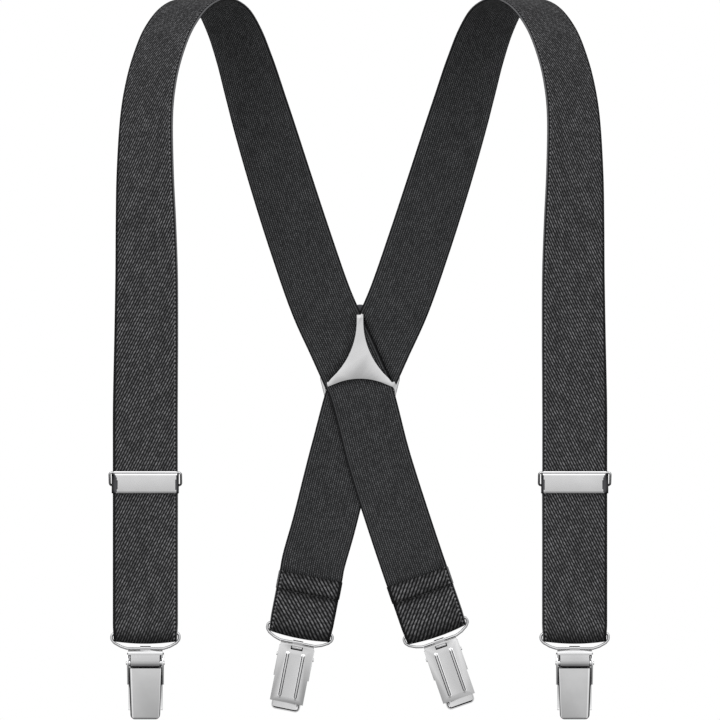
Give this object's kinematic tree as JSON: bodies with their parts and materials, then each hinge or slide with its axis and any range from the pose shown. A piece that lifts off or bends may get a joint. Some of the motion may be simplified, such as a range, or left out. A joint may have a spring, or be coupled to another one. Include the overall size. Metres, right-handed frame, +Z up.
{
  "type": "clip suspenders",
  "caption": "X-back elastic suspenders with sliding front adjusters, a metal crossing plate and lever clips that grip a waistband.",
  "frame": {"origin": "midway between the two shoulder crests, level with the underside of the webbing there", "axes": "+Z up, -Y the wearer's front, -X the left side as seen from the front"},
  "size_m": [0.2706, 0.0968, 0.3918],
  "materials": {
    "webbing_front": "black elastic twill webbing",
    "webbing_back": "black elastic ribbed webbing",
    "thread": "black sewing thread",
    "plate_metal": "polished nickel",
    "cover_metal": "polished nickel",
    "wire_metal": "bright wire",
    "clip_metal": "bright nickel pressing"
  },
  "bodies": {
    "root": {"back_plate": "plate_metal", "shoulder_web_left": "webbing_front", "back_web_left": "webbing_back", "back_leg_left": "webbing_back", "shoulder_web_right": "webbing_front", "back_web_right": "webbing_back", "back_leg_right": "webbing_back"},
    "front_strap_left": {"front_web_left": "webbing_front"},
    "front_loop_left": {"lower_front_web_left": "webbing_front", "front_fold_left": "webbing_front", "tail_web_left": "webbing_front"},
    "adjuster_left": {"adjuster_bail_left": "wire_metal", "tail_end_left": "webbing_front", "tail_stitches_left": "thread"},
    "adjuster_cover_left": {"adjuster_cover_left": "cover_metal"},
    "front_strap_right": {"front_web_right": "webbing_front"},
    "front_loop_right": {"lower_front_web_right": "webbing_front", "front_fold_right": "webbing_front", "tail_web_right": "webbing_front"},
    "adjuster_right": {"adjuster_bail_right": "wire_metal", "tail_end_right": "webbing_front", "tail_stitches_right": "thread"},
    "adjuster_cover_right": {"adjuster_cover_right": "cover_metal"},
    "back_end_left": {"back_fold_left": "webbing_front", "back_stitches_left": "thread"},
    "back_end_right": {"back_fold_right": "webbing_front", "back_stitches_right": "thread"},
    "front_left_ring": {"front_left_ring": "wire_metal"},
    "front_left_clip": {"front_left_clip_body": "clip_metal", "front_left_clip_pin": "wire_metal"},
    "front_left_jaw": {"front_left_clip_jaw": "clip_metal"},
    "front_left_lever": {"front_left_clip_lever": "clip_metal"},
    "front_right_ring": {"front_right_ring": "wire_metal"},
    "front_right_clip": {"front_right_clip_body": "clip_metal", "front_right_clip_pin": "wire_metal"},
    "front_right_jaw": {"front_right_clip_jaw": "clip_metal"},
    "front_right_lever": {"front_right_clip_lever": "clip_metal"},
    "back_left_ring": {"back_left_ring": "wire_metal"},
    "back_left_clip": {"back_left_clip_body": "clip_metal", "back_left_clip_pin": "wire_metal"},
    "back_left_jaw": {"back_left_clip_jaw": "clip_metal"},
    "back_left_lever": {"back_left_clip_lever": "clip_metal"},
    "back_right_ring": {"back_right_ring": "wire_metal"},
    "back_right_clip": {"back_right_clip_body": "clip_metal", "back_right_clip_pin": "wire_metal"},
    "back_right_jaw": {"back_right_clip_jaw": "clip_metal"},
    "back_right_lever": {"back_right_clip_lever": "clip_metal"}
  },
  "joints": [
    {"name": "front_stretch_left", "type": "slide", "parent": "root", "child": "front_strap_left", "axis": [0, 0, -1], "range_m": [0, 0.04], "stiffness_N_per_m": 150},
    {"name": "front_loop_rise_left", "type": "slide", "parent": "front_strap_left", "child": "front_loop_left", "axis": [0, 0, 1], "range_m": [-0.02, 0.015], "deforming": ["lower_front_web_left"]},
    {"name": "adjuster_slide_left", "type": "slide", "parent": "front_loop_left", "child": "adjuster_left", "axis": [0, 0, 1], "range_m": [-0.02, 0.015], "deforming": ["tail_web_left"]},
    {"name": "adjuster_cover_flip_left", "type": "hinge", "parent": "adjuster_left", "child": "adjuster_cover_left", "pos_m": [-0.1155, -0.0439, -0.256], "axis": [-1, 0, 0], "range_deg": [0, 75]},
    {"name": "front_stretch_right", "type": "slide", "parent": "root", "child": "front_strap_right", "axis": [0, 0, -1], "range_m": [0, 0.04], "stiffness_N_per_m": 150},
    {"name": "front_loop_rise_right", "type": "slide", "parent": "front_strap_right", "child": "front_loop_right", "axis": [0, 0, 1], "range_m": [-0.02, 0.015], "deforming": ["lower_front_web_right"]},
    {"name": "adjuster_slide_right", "type": "slide", "parent": "front_loop_right", "child": "adjuster_right", "axis": [0, 0, 1], "range_m": [-0.02, 0.015], "deforming": ["tail_web_right"]},
    {"name": "adjuster_cover_flip_right", "type": "hinge", "parent": "adjuster_right", "child": "adjuster_cover_right", "pos_m": [0.1155, -0.0439, -0.256], "axis": [-1, 0, 0], "range_deg": [0, 75]},
    {"name": "back_stretch_left", "type": "slide", "parent": "root", "child": "back_end_left", "axis": [-0.1908, 0, -0.9816], "range_m": [0, 0.05], "stiffness_N_per_m": 150},
    {"name": "back_stretch_right", "type": "slide", "parent": "root", "child": "back_end_right", "axis": [0.3256, 0, -0.9455], "range_m": [0, 0.05], "stiffness_N_per_m": 150},
    {"name": "front_left_ring_swing", "type": "hinge", "parent": "front_loop_left", "child": "front_left_ring", "pos_m": [-0.1155, -0.04045, -0.3425], "axis": [1, 0, 0], "range_deg": [-40, 40]},
    {"name": "front_left_clip_swing", "type": "hinge", "parent": "front_left_ring", "child": "front_left_clip", "pos_m": [-0.1155, -0.04045, -0.3508], "axis": [1, 0, 0], "range_deg": [-35, 35]},
    {"name": "front_left_lever_flip", "type": "hinge", "parent": "front_left_clip", "child": "front_left_lever", "pos_m": [-0.1155, -0.04205, -0.3586], "axis": [-1, 0, 0], "range_deg": [0, 90]},
    {"name": "front_left_jaw_open", "type": "hinge", "parent": "front_left_clip", "child": "front_left_jaw", "pos_m": [-0.1155, -0.04045, -0.3508], "axis": [-1, 0, 0], "range_deg": [0, 4]},
    {"name": "front_right_ring_swing", "type": "hinge", "parent": "front_loop_right", "child": "front_right_ring", "pos_m": [0.1155, -0.04045, -0.3425], "axis": [1, 0, 0], "range_deg": [-40, 40]},
    {"name": "front_right_clip_swing", "type": "hinge", "parent": "front_right_ring", "child": "front_right_clip", "pos_m": [0.1155, -0.04045, -0.3508], "axis": [1, 0, 0], "range_deg": [-35, 35]},
    {"name": "front_right_lever_flip", "type": "hinge", "parent": "front_right_clip", "child": "front_right_lever", "pos_m": [0.1155, -0.04205, -0.3586], "axis": [-1, 0, 0], "range_deg": [0, 90]},
    {"name": "front_right_jaw_open", "type": "hinge", "parent": "front_right_clip", "child": "front_right_jaw", "pos_m": [0.1155, -0.04045, -0.3508], "axis": [-1, 0, 0], "range_deg": [0, 4]},
    {"name": "back_left_ring_swing", "type": "hinge", "parent": "back_end_left", "child": "back_left_ring", "pos_m": [-0.03265, 0.0398, -0.34322], "axis": [-0.9816, 0, 0.1908], "range_deg": [-40, 40]},
    {"name": "back_left_clip_swing", "type": "hinge", "parent": "back_left_ring", "child": "back_left_clip", "pos_m": [-0.03423, 0.0398, -0.35137], "axis": [-0.9816, 0, 0.1908], "range_deg": [-35, 35]},
    {"name": "back_left_lever_flip", "type": "hinge", "parent": "back_left_clip", "child": "back_left_lever", "pos_m": [-0.03572, 0.0414, -0.35902], "axis": [0.9816, 0, -0.1908], "range_deg": [0, 90]},
    {"name": "back_left_jaw_open", "type": "hinge", "parent": "back_left_clip", "child": "back_left_jaw", "pos_m": [-0.03423, 0.0398, -0.35137], "axis": [0.9816, 0, -0.1908], "range_deg": [0, 4]},
    {"name": "back_right_ring_swing", "type": "hinge", "parent": "back_end_right", "child": "back_right_ring", "pos_m": [0.04098, 0.038, -0.34237], "axis": [-0.9455, 0, -0.3256], "range_deg": [-40, 40]},
    {"name": "back_right_clip_swing", "type": "hinge", "parent": "back_right_ring", "child": "back_right_clip", "pos_m": [0.04368, 0.038, -0.35022], "axis": [-0.9455, 0, -0.3256], "range_deg": [-35, 35]},
    {"name": "back_right_lever_flip", "type": "hinge", "parent": "back_right_clip", "child": "back_right_lever", "pos_m": [0.04622, 0.0396, -0.35759], "axis": [0.9455, 0, 0.3256], "range_deg": [0, 90]},
    {"name": "back_right_jaw_open", "type": "hinge", "parent": "back_right_clip", "child": "back_right_jaw", "pos_m": [0.04368, 0.038, -0.35022], "axis": [0.9455, 0, 0.3256], "range_deg": [0, 4]}
  ],
  "couplings": [
    {"joint": "front_loop_rise_left", "follows": "adjuster_slide_left", "ratio": 1},
    {"joint": "front_loop_rise_right", "follows": "adjuster_slide_right", "ratio": 1},
    {"joint": "front_left_jaw_open", "follows": "front_left_lever_flip", "ratio": 0.044444},
    {"joint": "front_right_jaw_open", "follows": "front_right_lever_flip", "ratio": 0.044444},
    {"joint": "back_left_jaw_open", "follows": "back_left_lever_flip", "ratio": 0.044444},
    {"joint": "back_right_jaw_open", "follows": "back_right_lever_flip", "ratio": 0.044444}
  ]
}
